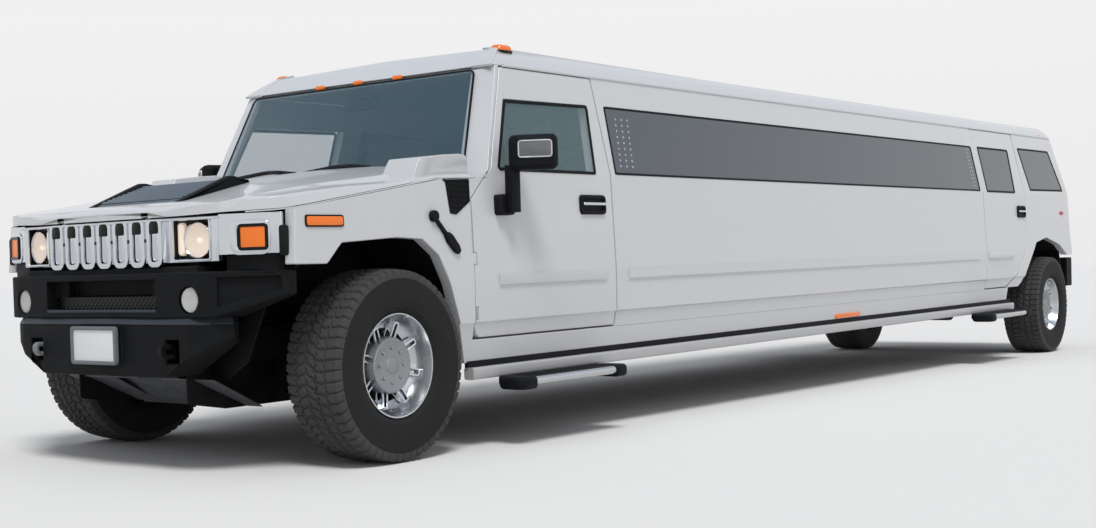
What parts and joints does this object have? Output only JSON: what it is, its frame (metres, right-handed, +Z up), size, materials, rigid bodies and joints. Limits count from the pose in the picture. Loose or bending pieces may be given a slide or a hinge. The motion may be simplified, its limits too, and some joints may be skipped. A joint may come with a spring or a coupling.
{
  "type": "stretch limousine",
  "caption": "Long white stretch limousine on a boxy off-roader base, with opening doors, bonnet and tailgate, steered front wheels and rolling wheels.",
  "frame": {"origin": "on the ground at the middle of the length and width", "axes": "+Z up, -Y towards the front, +X towards the vehicle's left side"},
  "size_m": [2.5, 10.8114, 2.1017],
  "materials": {
    "white_paint": "glossy white paint",
    "chrome_trim": "polished chrome",
    "polished_rim": "polished alloy",
    "black_plastic": "fine textured black",
    "grey_plate": "satin grey",
    "tow_grey": "satin light grey",
    "chassis_black": "satin black chassis paint",
    "cast_parts": "cast and forged running gear",
    "engine_block": "plain block",
    "exhaust_steel": "dull steel",
    "tinted_glass": "blue-grey tinted",
    "dark_glass": "dark privacy tint",
    "clear_lamp": "clear lamp glass",
    "amber_lens": "amber lens",
    "red_lens": "red lens",
    "tyre_rubber": "black tread rubber",
    "seat_leather": "dark leather",
    "cabin_trim": "dark grey trim",
    "light_rail": "milky light tube"
  },
  "bodies": {
    "vehicle": {"sills": "white_paint", "stretch_panels": "white_paint", "quarter_panels": "white_paint", "side_glass": "dark_glass", "roof": "white_paint", "windscreen_frame": "white_paint", "windscreen": "tinted_glass", "fenders": "white_paint", "grille": "chrome_trim", "front_lamps": "clear_lamp", "amber_lamps": "amber_lens", "front_bumper": "black_plastic", "skid_plate": "grey_plate", "tow_loops": "tow_grey", "rear_bumper": "black_plastic", "tail_lamps": "red_lens", "chassis_frame": "chassis_black", "engine": "engine_block", "floor_pan": "chassis_black", "fuel_tank": "black_plastic", "exhaust": "exhaust_steel", "side_rails": "light_rail", "running_steps": "black_plastic", "wheelhouses": "black_plastic", "suspension": "chassis_black", "driveline": "cast_parts", "dashboard": "cabin_trim", "seats": "seat_leather", "partition": "cabin_trim"},
    "bonnet": {"bonnet": "white_paint", "bonnet_vent": "black_plastic"},
    "tailgate": {"tailgate": "white_paint", "tailgate_glass": "dark_glass"},
    "door_front_left": {"door_front_left": "white_paint", "door_front_glass_left": "tinted_glass", "mirror_left": "black_plastic"},
    "door_front_right": {"door_front_right": "white_paint", "door_front_glass_right": "tinted_glass", "mirror_right": "black_plastic"},
    "door_rear_left": {"door_rear_left": "white_paint", "door_rear_glass_left": "dark_glass"},
    "door_rear_right": {"door_rear_right": "white_paint", "door_rear_glass_right": "dark_glass"},
    "knuckle_left": {"knuckle_left": "cast_parts"},
    "knuckle_right": {"knuckle_right": "cast_parts"},
    "steering_rod": {"steering_rod": "cast_parts"},
    "wheel_front_left": {"tyre_front_left": "tyre_rubber", "rim_front_left": "polished_rim"},
    "wheel_front_right": {"tyre_front_right": "tyre_rubber", "rim_front_right": "polished_rim"},
    "wheel_rear_left": {"tyre_rear_left": "tyre_rubber", "rim_rear_left": "polished_rim"},
    "wheel_rear_right": {"tyre_rear_right": "tyre_rubber", "rim_rear_right": "polished_rim"}
  },
  "joints": [
    {"name": "door_front_left_hinge", "type": "hinge", "parent": "vehicle", "child": "door_front_left", "pos_m": [1.013, -3.97522, 0.77675], "axis": [0, 0.012, -0.9999], "range_deg": [0, 65]},
    {"name": "door_front_right_hinge", "type": "hinge", "parent": "vehicle", "child": "door_front_right", "pos_m": [-1.013, -3.97522, 0.77675], "axis": [0, -0.012, 0.9999], "range_deg": [0, 65]},
    {"name": "door_rear_left_hinge", "type": "hinge", "parent": "vehicle", "child": "door_rear_left", "pos_m": [1.013, 2.82429, 0.85805], "axis": [0, 0.012, -0.9999], "range_deg": [0, 65]},
    {"name": "door_rear_right_hinge", "type": "hinge", "parent": "vehicle", "child": "door_rear_right", "pos_m": [-1.013, 2.82429, 0.85805], "axis": [0, -0.012, 0.9999], "range_deg": [0, 65]},
    {"name": "bonnet_hinge", "type": "hinge", "parent": "vehicle", "child": "bonnet", "pos_m": [0, -5.3604, 1.11822], "axis": [1, 0, 0], "range_deg": [0, 60]},
    {"name": "tailgate_hinge", "type": "hinge", "parent": "vehicle", "child": "tailgate", "pos_m": [0, 4.86383, 1.99651], "axis": [1, 0, 0], "range_deg": [0, 80]},
    {"name": "steer_left", "type": "hinge", "parent": "vehicle", "child": "knuckle_left", "pos_m": [0.8015, -4.53817, 0.4345], "axis": [0, 0, 1], "range_deg": [-28, 28]},
    {"name": "steer_right", "type": "hinge", "parent": "vehicle", "child": "knuckle_right", "pos_m": [-0.8015, -4.53817, 0.4345], "axis": [0, 0, 1], "range_deg": [-28, 28]},
    {"name": "steering_rod_slide", "type": "slide", "parent": "vehicle", "child": "steering_rod", "axis": [1, 0, 0], "range_m": [-0.05, 0.05]},
    {"name": "spin_front_left", "type": "hinge", "parent": "knuckle_left", "child": "wheel_front_left", "pos_m": [0.8815, -4.53817, 0.4345], "axis": [1, 0, 0], "continuous": true},
    {"name": "spin_front_right", "type": "hinge", "parent": "knuckle_right", "child": "wheel_front_right", "pos_m": [-0.8815, -4.53817, 0.4345], "axis": [1, 0, 0], "continuous": true},
    {"name": "spin_rear_left", "type": "hinge", "parent": "vehicle", "child": "wheel_rear_left", "pos_m": [0.8815, 4.44183, 0.4345], "axis": [1, 0, 0], "continuous": true},
    {"name": "spin_rear_right", "type": "hinge", "parent": "vehicle", "child": "wheel_rear_right", "pos_m": [-0.8815, 4.44183, 0.4345], "axis": [1, 0, 0], "continuous": true}
  ],
  "couplings": [
    {"joint": "steer_right", "follows": "steer_left", "ratio": 1},
    {"joint": "steering_rod_slide", "follows": "steer_left", "m_per_rad": -0.1}
  ]
}
